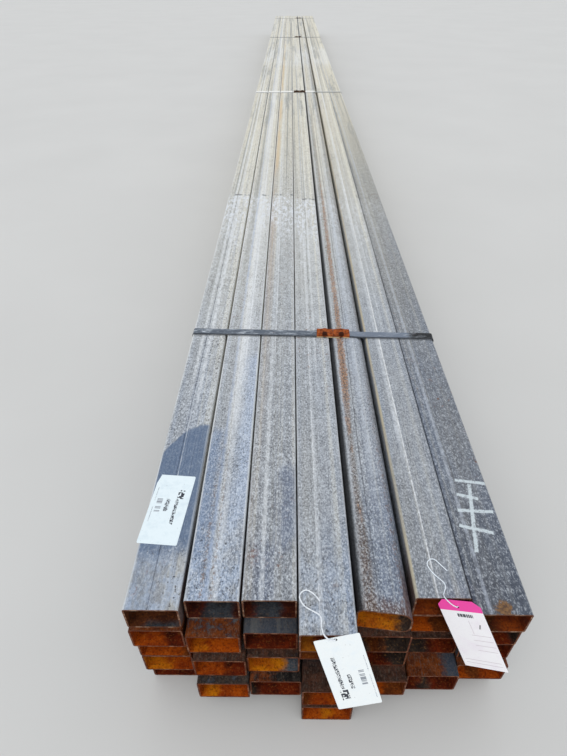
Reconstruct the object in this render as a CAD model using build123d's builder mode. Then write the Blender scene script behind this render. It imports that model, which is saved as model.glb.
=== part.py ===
from build123d import *
import math
import os

# Bundle of 35 rectangular steel tubes: five layers of seven, held by four steel straps.
# X runs across the bundle, Y along the tubes with the tagged ends towards -Y, Z up.
# The origin is the bottom centre of the whole bundle's box, at the underside of the straps,
# on which it lies. Millimetres throughout.

# Tubes, 4 in x 2 1/2 in x 1/8 in, 40 ft long
tube_width = 101.6
tube_height = 63.5
tube_wall = 3.18
tube_corner = 5.0
tube_length = 12192.0

# The top layer's tubes from the left: the section of each, and the tag that it carries
top_sections = ("square", "square", "square", "square", "rounded", "square", "square")
top_tags = ("lying", "none", "none", "hanging", "none", "card", "none")

# The rounded tube has four different corner roundings and a front end cut askew.
odd_top_left = 14.0
odd_top_right = 26.0
odd_bottom_right = 20.0
odd_bottom_left = 9.0
odd_cut_angle = 6.4

# Where the tubes lie, top layer first, from the left: how far a layer starts from the
# bundle's left face, the gaps between its tubes, and how far each front end stands out.
layer_start = (0.0, 0.5, 2.0, 2.5, 7.0)
side_gaps = (
    (6.5, 4.0, 3.0, 2.5, 7.5, 0.5),
    (6.0, 6.0, 3.0, 4.5, 4.5, 0.5),
    (13.5, 1.0, 1.5, 4.0, 3.5, 1.0),
    (17.0, 1.0, 1.0, 2.5, 2.0, 1.0),
    (4.0, 5.0, 6.0, 3.0, 1.0, 0.5),
)
end_out = (
    (0.0, -18.0, -20.0, 42.0, 1.0, -27.0, 3.0),
    (6.0, 17.0, 9.0, 27.0, 13.0, -27.0, -3.0),
    (-4.0, 32.0, 24.0, -12.0, 10.0, -15.0, -6.0),
    (-4.0, 47.0, 42.0, 60.0, 40.0, 29.0, 8.0),
    (-19.0, 12.0, 8.0, 64.0, 6.0, -6.0, -22.0),
)

# Straps, 1 1/4 in steel band, two measured from the front ends and two from the far ends
strap_width = 31.75
strap_thickness = 0.8
strap_clearance = 0.2
strap_from_front = (887.0, 4632.0)
strap_from_back = (3570.0, 540.0)
strap_skew = (2.0, 0.0, 0.0, 0.0)
strap_tail_length = 128.0

# Crimped seals, two side by side on each strap, over the doubled strap ends
seal_length = 48.0
seal_spacing = 50.5
seal_wall = 1.6
seal_height = 10.5
seal_shoulder = 4.0
seal_clearance = 0.3
seal_notch_width = 12.0
seal_notch_depth = 4.0
seal_centres = (64.5, 9.0, 38.0, 80.5)

# White tags: one lies on the first tube, one hangs from a hole in front of the fourth
tag_width = 82.0
tag_length = 178.0
tag_thickness = 0.8
tag_corner = 3.0
lying_tag_middle = (43.0, 224.0)
lying_tag_turn = -4.4
lying_tag_clip = (5.0, 24.0)
hanging_tag_corner = (24.2, -4.6, -13.0)
hanging_tag_angles = (-16.2, -16.6, -1.4)
tag_hole_radius = 3.2
tag_hole_across = 38.5
tag_hole_down = 5.5

# Card tag with clipped top corners, which hangs in front of the sixth tube
card_width = 79.4
card_length = 158.8
card_thickness = 0.6
card_clip = 12.0
card_corner = (35.5, -0.4, -0.5)
card_angles = (-24.2, -24.8, -35.4)
card_hole_radius = 2.8
card_hole_across = 36.6
card_hole_down = 14.9

# Bent wire hooks. Their points are measured from the tube's left face, front end and top.
wire_clearance = 0.2
hook_radius = 1.3
hook_flat_points = ((38.0, 61.0), (29.0, 74.0), (12.5, 85.0), (-1.0, 71.5), (8.0, 51.5),
                    (40.0, 34.0), (38.5, 13.0))
hook_drop_points = ((42.5, -1.5, 3.2), (50.0, -6.5, -1.2), (57.5, -6.0, -5.0))
card_hook_radius = 1.0
card_hook_flat_points = ((68.5, 54.5), (47.0, 83.0), (31.0, 71.0), (39.0, 51.0),
                         (61.0, 26.0), (51.0, 7.0))
card_hook_drop_points = ((48.5, -3.5, 10.5), (51.0, -12.0, 14.5), (59.5, -18.5, 10.8))
hook_lead = 0.8
hook_tail = 5.0

# Derived sizes
layers = len(side_gaps)
stack_height = layers * tube_height
stack_bottom = strap_thickness
stack_top = stack_bottom + stack_height
layer_width = [start + sum(gaps) + (len(gaps) + 1) * tube_width
               for start, gaps in zip(layer_start, side_gaps)]
stack_width = max(layer_width)
odd_place = top_sections.index("rounded") + 1
hanging_place = top_tags.index("hanging") + 1
card_place = top_tags.index("card") + 1

# Outline of the white tags, its origin at the top left corner, Y up
with BuildSketch() as white_outline:
    with Locations((tag_width / 2, -tag_length / 2)):
        Rectangle(tag_width, tag_length)
    fillet(vertices(), tag_corner)

# The box of the whole bundle: the lying tag reaches furthest left, the first strap furthest
# right, the hanging tag furthest forward and the tube pushed back most furthest back.
skew = math.radians(strap_skew[0])
strap_reach = (strap_width * math.sin(skew) + (strap_clearance + strap_thickness) * math.cos(skew))
lying_spot = Location((lying_tag_middle[0], lying_tag_middle[1], 0), (0, 0, lying_tag_turn))
lying_spot = lying_spot * Location((-tag_width / 2, tag_length / 2, 0))
lying_reach = -white_outline.sketch.moved(lying_spot).bounding_box().min.X
upright_turn = Location((0, 0, 0), (90, 0, 0))
hanging_spot = Location(hanging_tag_corner, hanging_tag_angles) * upright_turn
hanging_reach = -white_outline.sketch.moved(hanging_spot).bounding_box().min.Y
hanging_reach += end_out[0][hanging_place - 1]
back_reach = -min(min(row) for row in end_out)
stack_left = (lying_reach - strap_reach - stack_width) / 2
stack_middle = stack_left + stack_width / 2
front = (hanging_reach - back_reach - tube_length) / 2


def tube_left(layer, place):
    """X of the left face of a tube; layer 1 is the top one and place 1 the leftmost."""
    gaps = side_gaps[layer - 1][:place - 1]
    return stack_left + layer_start[layer - 1] + sum(gaps) + (place - 1) * tube_width


def tube_front(layer, place):
    """Y of the front end of a tube."""
    return front - end_out[layer - 1][place - 1]


os.makedirs("parts", exist_ok=True)

# Square-cornered tubes
for layer in range(1, layers + 1):
    for place in range(1, len(side_gaps[layer - 1]) + 2):
        if (layer, place) == (1, odd_place):
            continue
        middle = (tube_left(layer, place) + tube_width / 2, stack_top - (layer - 0.5) * tube_height)
        with BuildPart() as tube:
            with BuildSketch(Plane.XZ.offset(-tube_front(layer, place))):
                with Locations(middle):
                    RectangleRounded(tube_width, tube_height, tube_corner)
                    RectangleRounded(tube_width - 2 * tube_wall, tube_height - 2 * tube_wall,
                                     tube_corner - tube_wall, mode=Mode.SUBTRACT)
            extrude(amount=-tube_length)
        tube.part.label = f"tube_layer{layer}_no{place}"
        export_step(tube.part, f"parts/{tube.part.label}.step")

# Odd tube: four different corner roundings, its front end cut about 6 degrees askew
odd_middle = (tube_left(1, odd_place) + tube_width / 2, stack_top - tube_height / 2)
with BuildPart() as rounded_tube:
    with BuildSketch(Plane.XZ.offset(-tube_front(1, odd_place) + tube_width)):
        with Locations(odd_middle):
            Rectangle(tube_width, tube_height)
        for row, side, radius in ((-1, 0, odd_top_left), (-1, -1, odd_top_right),
                                  (0, -1, odd_bottom_right), (0, 0, odd_bottom_left)):
            corners = vertices().group_by(Axis.Y)[row].sort_by(Axis.X)
            fillet(corners[side], radius)
        offset(amount=-tube_wall, mode=Mode.SUBTRACT)
    extrude(amount=-tube_length - tube_width)
    cut_plane = Plane((odd_middle[0], tube_front(1, odd_place), odd_middle[1]),
                      z_dir=Vector(0, 1, 0).rotate(Axis.Z, -odd_cut_angle))
    split(bisect_by=cut_plane, keep=Keep.TOP)
rounded_tube.part.label = "rounded_tube_layer1_no5"
export_step(rounded_tube.part, "parts/rounded_tube_layer1_no5.step")

# Straps: closed bands round the stack, each with its doubled end under the seals
strap_y = [front + place for place in strap_from_front]
strap_y += [front + tube_length - place for place in strap_from_back]
strap_middle = stack_bottom + stack_height / 2
for number, (y, skew, centre) in enumerate(zip(strap_y, strap_skew, seal_centres), start=1):
    lean = strap_width * math.sin(math.radians(skew))
    strap_inside = (stack_width + lean) / math.cos(math.radians(skew)) + 2 * strap_clearance
    across = Plane((stack_middle, y, 0), x_dir=Vector(1, 0, 0).rotate(Axis.Z, -skew),
                   z_dir=Vector(0, -1, 0).rotate(Axis.Z, -skew))
    with BuildPart() as strap:
        with BuildSketch(across):
            with Locations((0, strap_middle)):
                RectangleRounded(strap_inside + 2 * strap_thickness,
                                 stack_height + 2 * strap_thickness,
                                 tube_corner + strap_thickness)
                RectangleRounded(strap_inside, stack_height, tube_corner,
                                 mode=Mode.SUBTRACT)
            with Locations((centre, stack_top + 1.5 * strap_thickness)):
                Rectangle(strap_tail_length, strap_thickness)
        extrude(amount=strap_width / 2, both=True)
    strap.part.label = f"strap_{number}"
    export_step(strap.part, f"parts/strap_{number}.step")

    # Seals: arched channels astride the strap, crimped by a notch in the middle of each lip
    seal_outside = strap_width + 2 * (seal_clearance + seal_wall)
    for side, letter in ((-1, "a"), (1, "b")):
        seal_centre = centre + side * seal_spacing / 2
        end = across.from_local_coords((seal_centre - seal_length / 2, stack_top, 0))
        end_plane = Plane(end, x_dir=-across.z_dir, z_dir=across.x_dir)
        with BuildPart() as seal:
            with BuildSketch(end_plane):
                with Locations((0, seal_height / 2)):
                    Rectangle(seal_outside, seal_height)
                fillet(vertices().group_by(Axis.Y)[-1], seal_shoulder)
                with Locations((0, (seal_height - seal_wall) / 2)):
                    Rectangle(seal_outside - 2 * seal_wall, seal_height - seal_wall,
                              mode=Mode.SUBTRACT)
            extrude(amount=seal_length)
            with BuildSketch(Plane(across.from_local_coords((seal_centre, stack_top, 0)),
                                   x_dir=across.x_dir, z_dir=across.z_dir)):
                Rectangle(seal_notch_width, 2 * seal_notch_depth)
            extrude(amount=seal_outside, both=True, mode=Mode.SUBTRACT)
        seal.part.label = f"strap_{number}_seal_{letter}"
        export_step(seal.part, f"parts/strap_{number}_seal_{letter}.step")


# White tag lying on the first tube, one corner clipped
lying_face = Plane(Location((tube_left(1, 1), tube_front(1, 1), stack_top)) * lying_spot)
with BuildPart() as lying_tag:
    with BuildSketch(lying_face):
        add(white_outline.sketch)
        with BuildLine():
            Polyline((0, 0), (0, -lying_tag_clip[1]), (lying_tag_clip[0], 0), close=True)
        make_face(mode=Mode.SUBTRACT)
    extrude(amount=tag_thickness)
lying_tag.part.label = "lying_tag"
export_step(lying_tag.part, "parts/lying_tag.step")


def upright(spot, place):
    """Plane of a hanging tag in front of a top tube: its origin at the tag's top left corner,
    X across, Y up."""
    tube_corner_point = Location((tube_left(1, place), tube_front(1, place), stack_top))
    return Plane(tube_corner_point * spot)


def bend_radii(points):
    """Radius of each bend of a bent wire: 0.45 of its shorter run over the tangent of half
    the turn."""
    radii = []
    for before, corner, after in zip(points, points[1:], points[2:]):
        run_in = Vector(corner) - Vector(before)
        run_out = Vector(after) - Vector(corner)
        half_turn = math.radians(run_in.get_angle(run_out) / 2)
        radii.append(0.45 * min(run_in.length, run_out.length) / math.tan(half_turn))
    return radii


def hook_points(flat, drop, radius, place, face, hole):
    """Points of a wire hook: flat on the top tube, over its end and through the tag's hole."""
    left, end = tube_left(1, place), tube_front(1, place)
    points = [(left + x, end + y, stack_top + radius + wire_clearance) for x, y in flat]
    points += [(left + x, end + y, stack_top + z) for x, y, z in drop]
    points += [tuple(face.from_local_coords((*hole, lift))) for lift in (hook_lead, -hook_tail)]
    return points


# Hanging white tag and its hook
hanging_face = upright(hanging_spot, hanging_place)
with BuildPart() as hanging_tag:
    with BuildSketch(hanging_face):
        add(white_outline.sketch)
        with Locations((tag_hole_across, -tag_hole_down)):
            Circle(tag_hole_radius, mode=Mode.SUBTRACT)
    extrude(amount=-tag_thickness)
hanging_tag.part.label = "hanging_tag"
export_step(hanging_tag.part, "parts/hanging_tag.step")

hook_route = hook_points(hook_flat_points, hook_drop_points, hook_radius, hanging_place,
                         hanging_face, (tag_hole_across, -tag_hole_down))
with BuildPart() as hanging_tag_hook:
    with BuildLine() as hook_line:
        FilletPolyline(*hook_route, radius=bend_radii(hook_route))
    with BuildSketch(Plane(hook_line.line @ 0, z_dir=hook_line.line % 0)):
        Circle(hook_radius)
    sweep(path=hook_line.line)
hanging_tag_hook.part.label = "hanging_tag_hook"
export_step(hanging_tag_hook.part, "parts/hanging_tag_hook.step")

# Card tag with clipped corners and its hook
card_face = upright(Location(card_corner, card_angles) * upright_turn, card_place)
with BuildPart() as card_tag:
    with BuildSketch(card_face):
        with Locations((card_width / 2, -card_length / 2)):
            Rectangle(card_width, card_length)
        chamfer(vertices().group_by(Axis.Y)[-1], card_clip)
        with Locations((card_hole_across, -card_hole_down)):
            Circle(card_hole_radius, mode=Mode.SUBTRACT)
    extrude(amount=-card_thickness)
card_tag.part.label = "card_tag"
export_step(card_tag.part, "parts/card_tag.step")

card_route = hook_points(card_hook_flat_points, card_hook_drop_points, card_hook_radius,
                         card_place, card_face, (card_hole_across, -card_hole_down))
with BuildPart() as card_tag_hook:
    with BuildLine() as card_line:
        FilletPolyline(*card_route, radius=bend_radii(card_route))
    with BuildSketch(Plane(card_line.line @ 0, z_dir=card_line.line % 0)):
        Circle(card_hook_radius)
    sweep(path=card_line.line)
card_tag_hook.part.label = "card_tag_hook"
export_step(card_tag_hook.part, "parts/card_tag_hook.step")
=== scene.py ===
import math

import bpy
import numpy as np
from mathutils import Matrix, Vector


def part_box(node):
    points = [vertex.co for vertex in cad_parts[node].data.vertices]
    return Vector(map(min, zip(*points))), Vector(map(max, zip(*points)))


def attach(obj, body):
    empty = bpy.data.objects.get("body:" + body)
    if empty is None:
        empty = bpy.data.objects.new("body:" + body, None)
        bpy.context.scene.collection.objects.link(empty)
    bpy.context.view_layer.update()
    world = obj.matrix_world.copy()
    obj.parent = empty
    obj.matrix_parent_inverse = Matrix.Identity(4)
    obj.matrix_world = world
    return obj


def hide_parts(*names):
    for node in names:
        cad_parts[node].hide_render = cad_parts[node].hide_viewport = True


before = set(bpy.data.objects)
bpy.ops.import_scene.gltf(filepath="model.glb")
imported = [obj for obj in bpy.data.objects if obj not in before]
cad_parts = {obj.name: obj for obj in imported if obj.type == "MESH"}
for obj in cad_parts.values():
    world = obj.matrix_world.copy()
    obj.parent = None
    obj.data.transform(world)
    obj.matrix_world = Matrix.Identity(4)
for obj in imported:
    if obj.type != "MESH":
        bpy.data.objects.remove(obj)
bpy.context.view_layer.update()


# Tubes. Thirty-four cold-formed, welded rectangular tubes, 4 in by 2 1/2 in with a 1/8 in wall.
# Their outsides keep a blue-grey mill scale with pale roll lines along them, and grow paler
# away from the tagged ends. The bores and the sawn ends have rusted.
TUBE_WIDTH, TUBE_HEIGHT, TUBE_WALL, TUBE_CORNER = 0.1016, 0.0635, 0.00318, 0.005
TUBE_LENGTH = 12.192


def paint(red, green, blue):
    """Colour as a shader wants it: each 8-bit channel to linear light, to the power 2.2."""
    return ((red / 255) ** 2.2, (green / 255) ** 2.2, (blue / 255) ** 2.2, 1.0)


class Finish:
    """One material, laid on coat by coat. A mask is a number from 0 to 1 over the surface."""

    def __init__(self, name):
        self.material = bpy.data.materials.new(name)
        self.material.use_nodes = True
        self.nodes = self.material.node_tree.nodes
        self.links = self.material.node_tree.links
        self.shader = self.nodes["Principled BSDF"]
        self.place = self.nodes.new("ShaderNodeTexCoord").outputs["Object"]
        self.colour = None

    def put(self, value, socket):
        """Sets a socket to a number or colour, or joins another socket to it."""
        if isinstance(value, bpy.types.NodeSocket):
            self.links.new(value, socket)
        else:
            socket.default_value = value

    def calc(self, kind, *values, clamp=False):
        """One step of arithmetic on numbers that vary over the surface."""
        node = self.nodes.new("ShaderNodeMath")
        node.operation, node.use_clamp = kind, clamp
        for value, socket in zip(values, node.inputs):
            self.put(value, socket)
        return node.outputs[0]

    def times(self, product, *others):
        """All the values multiplied."""
        for value in others:
            product = self.calc("MULTIPLY", product, value)
        return product

    def minus(self, value, other):
        """The first value less the other."""
        return self.calc("SUBTRACT", value, other)

    def apart(self, value, other):
        """How far two values are apart."""
        return self.calc("ABSOLUTE", self.minus(value, other))

    def linear(self, value, factor, offset):
        """The value times a factor, plus an offset."""
        return self.calc("MULTIPLY_ADD", value, factor, offset)

    def measured_from(self, corner):
        """From here on, places are measured from this corner of the piece. Gives X, Y and Z."""
        shift = self.nodes.new("ShaderNodeMapping")
        shift.inputs["Location"].default_value = [-c for c in corner]
        self.links.new(self.place, shift.inputs["Vector"])
        self.place = shift.outputs[0]
        split = self.nodes.new("ShaderNodeSeparateXYZ")
        self.links.new(self.place, split.inputs[0])
        return tuple(split.outputs)

    def along(self, origin, direction):
        """How far the place lies from an origin along a unit direction."""
        shift = self.nodes.new("ShaderNodeVectorMath")
        shift.operation = "SUBTRACT"
        self.put(self.place, shift.inputs[0])
        shift.inputs[1].default_value = origin
        dot = self.nodes.new("ShaderNodeVectorMath")
        dot.operation = "DOT_PRODUCT"
        self.links.new(shift.outputs["Vector"], dot.inputs[0])
        dot.inputs[1].default_value = direction
        return dot.outputs["Value"]

    def cloud(self, waves, detail=3.0, rough=0.55, seed=0.0):
        """Smooth random mask about 0.5. waves is how many a metre along X, Y and Z; where only
        two numbers are given, Z has as many as X, and where one is given, all are alike."""
        waves = waves if isinstance(waves, tuple) else (waves, waves)
        stretch = self.nodes.new("ShaderNodeMapping")
        stretch.inputs["Scale"].default_value = (*waves, waves[0])[:3]
        stretch.inputs["Location"].default_value = (seed * 1.7, seed * 3.1, seed * 2.3)
        self.put(self.place, stretch.inputs["Vector"])
        noise = self.nodes.new("ShaderNodeTexNoise")
        self.links.new(stretch.outputs[0], noise.inputs["Vector"])
        noise.inputs["Scale"].default_value = 1.0
        noise.inputs["Detail"].default_value = detail
        noise.inputs["Roughness"].default_value = rough
        return noise.outputs["Fac"]

    def rise(self, value, low, high, start=0.0, end=1.0):
        """Mask that goes smoothly from start to end as the value goes from low to high."""
        step = self.nodes.new("ShaderNodeMapRange")
        step.interpolation_type = "SMOOTHSTEP"
        for item, socket in zip((value, low, high, start, end), step.inputs):
            self.put(item, socket)
        return step.outputs[0]

    def fall(self, value, low, high, start=1.0):
        """Mask that goes smoothly from start to 0 as the value goes from low to high."""
        return self.rise(value, low, high, start, 0.0)

    def band(self, value, low, high, soft):
        """Mask that is 1 between low and high, with soft edges."""
        return self.times(
            self.rise(value, low - soft, low + soft), self.fall(value, high - soft, high + soft))

    def coat(self, below, above, mask):
        """Lays one colour over another by a mask. A colour is a socket, or red, green, blue."""
        mix = self.nodes.new("ShaderNodeMix")
        mix.data_type, mix.clamp_factor = "RGBA", True
        self.put(mask, mix.inputs[0])
        for colour, socket in ((below, mix.inputs[6]), (above, mix.inputs[7])):
            self.put(paint(*colour) if isinstance(colour, tuple) else colour, socket)
        return mix.outputs[2]

    def lay(self, tone, mask):
        """Lays a tone over the colour so far by a mask."""
        self.colour = self.coat(self.colour, tone, mask)

    def lay_where(self, mask, lay, *values):
        """Runs a function that lays coats, keeps them only where the mask is, and gives what
        the function gives."""
        before = self.colour
        given = lay(self, *values)
        self.colour = self.coat(before, self.colour, mask)
        return given

    def set(self, **values):
        """Sets or joins inputs of the shader, their names written with underscores."""
        for name, value in values.items():
            self.put(value, self.shader.inputs[name.replace("_", " ")])

    def finish(self, roughness, height, depth):
        """Joins the colour, the roughness and a bump of the given depth in metres."""
        bump = self.nodes.new("ShaderNodeBump")
        bump.inputs["Strength"].default_value = 1.0
        bump.inputs["Distance"].default_value = depth
        self.put(height, bump.inputs["Height"])
        self.set(Base_Color=self.colour, Roughness=roughness, Normal=bump.outputs[0])
        return self

    def dress(self, piece):
        """Gives the material to every slot of a piece."""
        if not piece.data.materials:
            piece.data.materials.append(self.material)
        for number in range(len(piece.data.materials)):
            piece.data.materials[number] = self.material


def skin_depth(f, x, z, radii):
    """Height above the tube's outer skin, below 0 inside it: the distance to a rectangle with
    rounded corners. radii are the corners' roundings: top left, top right, bottom right,
    bottom left."""
    across = f.minus(x, TUBE_WIDTH / 2)
    up = f.calc("ADD", z, TUBE_HEIGHT / 2)
    if len(set(radii)) == 1:
        radius = radii[0]
    else:
        right = f.calc("GREATER_THAN", across, 0.0)
        upper = f.calc("GREATER_THAN", up, 0.0)
        top = f.linear(right, radii[1] - radii[0], radii[0])
        bottom = f.linear(right, radii[2] - radii[3], radii[3])
        radius = f.linear(f.minus(top, bottom), upper, bottom)
    far = []
    for value, size in ((across, TUBE_WIDTH), (up, TUBE_HEIGHT)):
        over = f.calc("ADD", f.minus(f.calc("ABSOLUTE", value), size / 2), radius)
        far.append(f.calc("POWER", f.calc("MAXIMUM", over, 0.0), 2.0))
    return f.minus(f.calc("SQRT", f.calc("ADD", *far)), radius)


def mill_scale(f, y, seed, pale, near_end_shadow):
    """Lays the outside's colour: cloudy blue-grey and grey scale, drawn out along the tube. Away
    from the tagged ends it is paler, first cool, then creamy, in lanes along the tube, and
    rubbed white for a stretch half way. The paling is partly the scale's own drier tone and
    partly painted reflection of the sky at a grazing view. pale says how much, and the last
    argument how much painted shadow darkens the near end."""
    clouds = f.cloud((10, 1.4), 4, 0.55, seed)
    lanes = f.cloud((46, 0.13), 3, 0.6, seed + 7)
    blots = f.cloud((16, 0.9), 4, 0.6, seed + 8)
    f.colour = f.coat((112, 126, 148), (134, 138, 144), f.rise(clouds, 0.36, 0.62))
    # Paler further on: partly the scale's own drier tone, partly painted reflection of the sky at a
    # grazing view.
    onward = f.linear(clouds, 0.3, f.minus(y, 0.15))
    f.lay((210, 213, 217), f.rise(onward, -0.35, 0.35, 0.0, 0.24 * pale))
    f.lay((212, 214, 214), f.rise(onward, -0.1, 1.6, 0.0, 0.66 * pale))
    f.lay((240, 231, 205), f.rise(onward, 0.5, 3.6, 0.0, 0.85))
    far = f.rise(onward, 0.3, 3.2, 0.25, 0.75)
    f.lay((250, 245, 226), f.times(f.rise(lanes, 0.53, 0.64), far))
    f.lay((150, 148, 138), f.times(f.rise(lanes, 0.47, 0.36), far))
    f.lay((152, 154, 148), f.times(f.rise(blots, 0.46, 0.36), f.rise(onward, 1.6, 4.0, 0.0, 0.55)))
    rubbed = f.times(f.band(y, 6.1, 7.5, 0.3), f.rise(blots, 0.44, 0.56, 0.1, 0.65))
    f.lay((246, 245, 238), rubbed)
    # Painted shadow over the near end, strongest on the tubes on the right.
    if near_end_shadow:
        near = f.times(f.rise(y, 0.02, 0.34, near_end_shadow * 1.7, near_end_shadow), f.fall(y, 2.0, 5.5))
        f.lay((66, 70, 80), near)


def grained(f, seed, rusty, strength, light=(230, 236, 242), dark=(54, 56, 62)):
    """Lays the grain of the scale and gives its height: soft mottling, light and dark flecks
    a few millimetres long, fine roll marks, black pits and freckles of rust."""
    mottle = f.cloud((64, 34), 4, 0.65, seed + 11)
    flecks = f.cloud((260, 165), 3, 0.8, seed + 3)
    rolled = f.cloud((460, 2.2), 2, 0.6, seed + 5)
    pits = f.cloud((210, 170), 1, 0.5, seed + 9)
    for cloud, most in ((mottle, 0.20), (flecks, 0.56)):
        for tone, end in ((light, 0.34), (dark, 0.66)):
            mask = f.times(f.rise(cloud, 0.5, end, 0.0, most), strength)
            f.lay(tone, mask)
    salt = f.rise(f.cloud((330, 150), 1, 0.5, seed + 19), 0.60, 0.68, 0.0, 0.55)
    f.lay(light, f.times(salt, strength))
    f.lay((70, 74, 82), f.rise(rolled, 0.52, 0.78, 0.0, 0.30))
    sparse = f.rise(f.cloud((7, 5), 2, 0.5, seed + 1), 0.42, 0.62)
    black = f.times(f.rise(pits, 0.62, 0.70), sparse, strength)
    f.lay((40, 36, 36), f.times(black, 0.75))
    rust = f.times(
        f.rise(f.cloud((75, 55), 3, 0.65, seed + 13), 0.60, 0.74),
        f.rise(f.cloud((6, 2.2), 2, 0.5, seed + 15), 0.62 - 0.3 * rusty, 0.75 - 0.25 * rusty))
    f.lay((128, 84, 58), f.times(rust, 0.75))
    height = f.minus(f.times(flecks, 0.8), f.times(black, 0.6))
    return f.linear(rolled, 0.25, height)


def roll_line(f, x, y, across, width, strength, seed, tone, start=-1.0):
    """A line along the tube where a forming roll or the weld trimmer ran: a little wavering,
    and broken up by the scale. It fades in over the quarter metre past start."""
    waver = f.linear(f.cloud((0.01, 0.7), 2, 0.5, seed), 0.008, -0.004)
    off = f.apart(f.minus(x, across), waver)
    worn = f.rise(f.cloud((150, 60), 3, 0.75, seed + 2), 0.40, 0.58, 0.35, 1.0)
    fading = f.rise(f.cloud((3, 0.9), 2, 0.5, seed + 4), 0.35, 0.60, 0.6, 1.0)
    mask = f.times(f.fall(off, width * 0.3, width, strength), worn)
    mask = f.times(mask, f.rise(y, start, start + 0.25))
    f.lay(tone, f.times(mask, fading))


RUST = {
    "red": ((118, 42, 12), (76, 26, 8)),
    "brown": ((128, 66, 26), (88, 42, 16)),
    "orange": ((186, 84, 8), (140, 54, 6)),
    "gold": ((218, 130, 12), (182, 92, 8)),
    "umber": ((94, 62, 48), (60, 42, 34)),
    "dark": ((76, 64, 56), (44, 38, 36)),
    # Near-black, laid as painted shadow.
    "black": ((44, 40, 38), (30, 28, 28)),
    "slate": ((92, 100, 108), (56, 60, 66)),
}


def rusted_bore(f, x, y, seed, main, other, start, end, inward=12.5):
    """Lays the bore's colour and gives its height: one tone of powdery rust, and a second one
    from start to end of the width and up to inward metres from the mouth, both mottled."""
    mottle = f.cloud((26, 34), 4, 0.6, seed + 21)
    fine = f.cloud(240, 3, 0.7, seed + 23)
    mask = f.rise(mottle, 0.36, 0.64)
    f.colour = f.coat(*RUST[main], mask)
    patch = f.coat(*RUST[other], mask)
    ragged = f.linear(f.minus(mottle, 0.5), 0.06, x)
    part = f.band(ragged, start * TUBE_WIDTH, end * TUBE_WIDTH, 0.010)
    part = f.times(part, f.fall(f.linear(mottle, 0.02, y), inward, inward + 0.016))
    f.lay(patch, part)
    f.lay((44, 26, 20), f.rise(fine, 0.50, 0.68, 0.0, 0.65))
    f.lay((226, 160, 84), f.rise(fine, 0.46, 0.30, 0.0, 0.20))
    return fine


STRAP_SKEW = math.radians(2.0)
STRAP_SLOPE = math.tan(STRAP_SKEW)


def strap_shadows_and_dust(f, x, y, low):
    """Painted shadow on a top tube along the near edge of each strap, which lies askew only at
    the first one, and white dust behind the second. low is the low corner of the tube's box."""
    dusty = 0.8 if low[0] < 0.1 else 0.2
    edges = ((1, 0.007, STRAP_SLOPE), (2, 0.020, 0.0), (3, 0.022, 0.0), (4, 0.006, 0.0))
    for strap, width, slope in edges:
        strap_low, strap_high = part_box(f"strap_{strap}")
        line = strap_low[1] - low[1] + (strap_high[0] - low[0]) * slope
        before = f.linear(x, slope, f.minus(y, line))
        # Painted shadow along the strap's near edge.
        f.lay((62, 64, 66), f.times(f.band(before, -width, 0.004, width * 0.4), 0.62))
        if strap == 2:
            f.lay((255, 253, 246), f.times(f.band(before, 0.030, 0.072, 0.008), dusty))


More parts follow.
